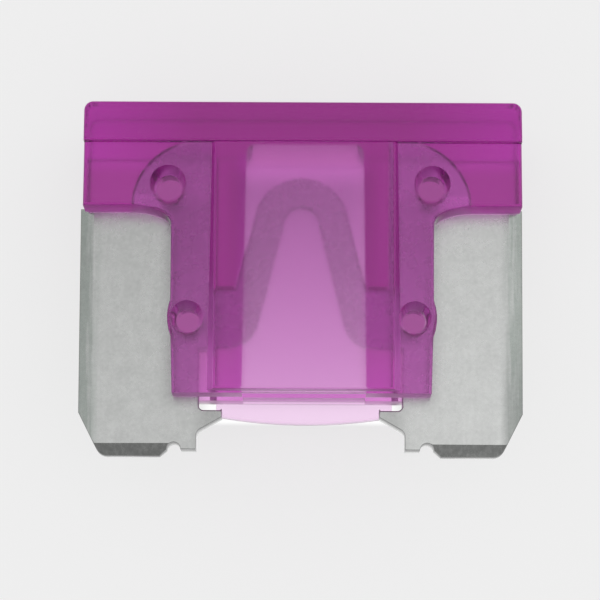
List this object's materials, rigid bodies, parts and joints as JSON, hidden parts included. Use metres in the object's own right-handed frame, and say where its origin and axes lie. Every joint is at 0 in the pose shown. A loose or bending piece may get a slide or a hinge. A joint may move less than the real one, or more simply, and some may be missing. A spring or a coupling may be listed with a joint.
{
  "type": "automotive blade fuse",
  "caption": "Low-profile automotive blade fuse: a clear violet plastic housing staked over a stamped metal element with flat blade terminals.",
  "frame": {"origin": "middle of the fuse's box at its base: the back face of the cap, on which the fuse lies", "axes": "+X across the two blades, to the right in the front view; +Y from the blade tips to the cap; +Z out of the front face"},
  "size_m": [0.011, 0.0086, 0.0038],
  "materials": {
    "housing_plastic": "transparent violet moulded plastic, satin outside",
    "element_metal": "dull grey stamped zinc alloy with fine upright brushing"
  },
  "bodies": {
    "root": {"housing": "housing_plastic", "fuse_element": "element_metal"}
  },
  "joints": []
}
